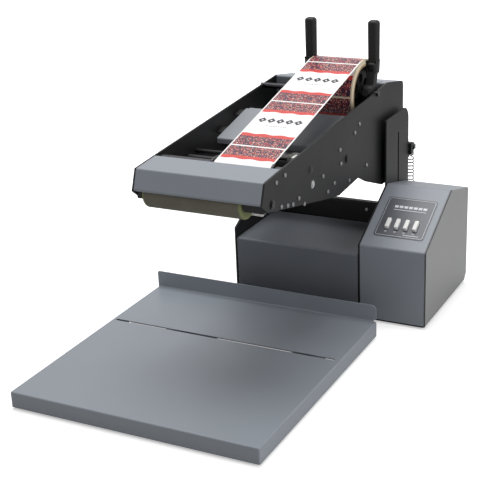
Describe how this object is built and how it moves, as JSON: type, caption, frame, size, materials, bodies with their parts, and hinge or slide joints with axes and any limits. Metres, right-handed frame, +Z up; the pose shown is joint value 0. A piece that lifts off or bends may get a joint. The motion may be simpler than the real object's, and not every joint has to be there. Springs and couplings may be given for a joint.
{
  "type": "flat label applicator",
  "caption": "Bench-top machine that peels labels from a roll and presses them on flat goods: sliding tray with rear fence, sprung tilting head on a lift, control box with keys.",
  "frame": {"origin": "middle of the overall footprint, on the plane that the feet stand on", "axes": "+X to the right as seen from the tray's front edge, +Y from the tray's front edge to the rear, +Z up"},
  "size_m": [0.4098, 0.661, 0.417],
  "materials": {
    "grey_paint": "satin",
    "black_paint": "satin",
    "charcoal_paint": "satin",
    "zinc_steel": "satin",
    "spring_steel": "satin",
    "ground_steel": "polished",
    "motor_steel": "satin",
    "bronze": "satin",
    "aluminium_bar": "satin",
    "black_plastic": "matte",
    "white_key": "satin",
    "white_nylon": "matte",
    "panel_film": "satin",
    "circuit_board": "satin",
    "foam_rubber": "matte",
    "roller_rubber": "matte",
    "belt_rubber": "matte",
    "foot_rubber": "matte",
    "label_paper": "satin",
    "liner_paper": "satin",
    "core_card": "matte"
  },
  "bodies": {
    "base": {"slide_outer_rails": "zinc_steel", "base_pan": "black_paint", "left_side_plate": "black_paint", "right_side_plate": "black_paint", "cross_wall": "black_paint", "base_cover": "charcoal_paint", "rear_panel": "black_paint", "control_box_cover": "grey_paint", "control_end_panel": "grey_paint", "control_overlay": "panel_film", "control_board": "circuit_board", "power_supply": "circuit_board", "power_entry": "black_plastic", "rubber_feet": "foot_rubber", "frame_screws": "zinc_steel"},
    "tray": {"tray": "grey_paint", "tray_runners": "zinc_steel"},
    "carriage": {"lift_carriage": "zinc_steel", "pivot_shaft": "ground_steel", "return_spring_left": "spring_steel", "return_spring_right": "spring_steel"},
    "clamp_left": {"clamp_knob_left": "black_plastic"},
    "clamp_right": {"clamp_knob_right": "black_plastic"},
    "head": {"flanged_bushes": "bronze", "head_left_plate": "black_paint", "head_right_plate": "black_paint", "nose_cover": "grey_paint", "head_deck": "grey_paint", "rear_housing": "grey_paint", "tie_rods": "ground_steel", "tail_pins": "ground_steel", "turn_bar": "ground_steel", "peel_plate": "aluminium_bar", "label_web": "label_paper", "front_roller_shaft": "ground_steel", "roller_blocks": "white_nylon", "drive_belt": "belt_rubber", "drive_motor": "motor_steel", "motor_bracket": "zinc_steel", "roll_spindle": "ground_steel", "label_guide_right": "black_plastic", "label_sensor": "white_nylon", "plate_screws": "zinc_steel"},
    "front_roller": {"front_roller_foam": "foam_rubber", "front_roller_core": "ground_steel"},
    "drive": {"drive_roller": "roller_rubber", "drive_pulley": "aluminium_bar"},
    "motor_shaft": {"motor_pulley": "aluminium_bar"},
    "pinch": {"pinch_roller": "roller_rubber"},
    "take_up": {"take_up_spindle": "black_plastic", "liner_roll": "liner_paper"},
    "label_reel": {"label_roll": "label_paper", "roll_core": "core_card", "roll_hub": "black_plastic"},
    "guide_left": {"label_guide_left": "black_plastic"},
    "rocker": {"power_rocker": "black_plastic"},
    "key_1": {"panel_key_1": "white_key"},
    "key_2": {"panel_key_2": "white_key"},
    "key_3": {"panel_key_3": "white_key"},
    "key_4": {"panel_key_4": "white_key"}
  },
  "joints": [
    {"name": "tray_slide", "type": "slide", "parent": "base", "child": "tray", "axis": [0, -1, 0], "range_m": [0, 0.2]},
    {"name": "head_lift", "type": "slide", "parent": "base", "child": "carriage", "axis": [0, 0, 1], "range_m": [0, 0.055]},
    {"name": "head_tilt", "type": "hinge", "parent": "carriage", "child": "head", "pos_m": [0.00495, 0.2495, 0.216], "axis": [1, 0, 0], "range_deg": [0, 25], "stiffness_Nm_per_rad": 12, "springref_deg": -80.21, "deforming": ["return_spring_left", "return_spring_right"]},
    {"name": "clamp_left_turn", "type": "hinge", "parent": "carriage", "child": "clamp_left", "pos_m": [-0.0945, 0.297, 0.202], "axis": [0, -1, 0], "range_deg": [-180, 180]},
    {"name": "clamp_right_turn", "type": "hinge", "parent": "carriage", "child": "clamp_right", "pos_m": [0.1044, 0.297, 0.202], "axis": [0, -1, 0], "range_deg": [-180, 180]},
    {"name": "front_roller_turn", "type": "hinge", "parent": "head", "child": "front_roller", "pos_m": [0.00495, -0.1671, 0.2597], "axis": [1, 0, 0], "continuous": true},
    {"name": "drive_turn", "type": "hinge", "parent": "head", "child": "drive", "pos_m": [0.00495, -0.048, 0.2493], "axis": [1, 0, 0], "continuous": true},
    {"name": "motor_turn", "type": "hinge", "parent": "head", "child": "motor_shaft", "pos_m": [0.00495, 0.0075, 0.243], "axis": [1, 0, 0], "continuous": true},
    {"name": "pinch_turn", "type": "hinge", "parent": "head", "child": "pinch", "pos_m": [0.00495, -0.052, 0.27036], "axis": [1, 0, 0], "continuous": true},
    {"name": "take_up_turn", "type": "hinge", "parent": "head", "child": "take_up", "pos_m": [0.00495, 0.0695, 0.25], "axis": [1, 0, 0], "continuous": true},
    {"name": "label_reel_turn", "type": "hinge", "parent": "head", "child": "label_reel", "pos_m": [0.00495, 0.1853, 0.3145], "axis": [1, 0, 0], "continuous": true},
    {"name": "guide_slide", "type": "slide", "parent": "head", "child": "guide_left", "axis": [-1, 0, 0], "range_m": [0, 0.05]},
    {"name": "rocker_tip", "type": "hinge", "parent": "base", "child": "rocker", "pos_m": [0.17715, 0.2826, 0.041], "axis": [1, 0, 0], "range_deg": [0, 12]},
    {"name": "key_1_press", "type": "slide", "parent": "base", "child": "key_1", "axis": [0, 0.4503, -0.8929], "range_m": [0, 0.001], "stiffness_N_per_m": 400, "springref_m": -0.001},
    {"name": "key_2_press", "type": "slide", "parent": "base", "child": "key_2", "axis": [0, 0.4503, -0.8929], "range_m": [0, 0.001], "stiffness_N_per_m": 400, "springref_m": -0.001},
    {"name": "key_3_press", "type": "slide", "parent": "base", "child": "key_3", "axis": [0, 0.4503, -0.8929], "range_m": [0, 0.001], "stiffness_N_per_m": 400, "springref_m": -0.001},
    {"name": "key_4_press", "type": "slide", "parent": "base", "child": "key_4", "axis": [0, 0.4503, -0.8929], "range_m": [0, 0.001], "stiffness_N_per_m": 400, "springref_m": -0.001}
  ],
  "couplings": [
    {"joint": "motor_turn", "follows": "drive_turn", "ratio": 1.75},
    {"joint": "pinch_turn", "follows": "drive_turn", "ratio": -1.625},
    {"joint": "take_up_turn", "follows": "drive_turn", "ratio": 0.65},
    {"joint": "label_reel_turn", "follows": "drive_turn", "ratio": -0.26971}
  ]
}
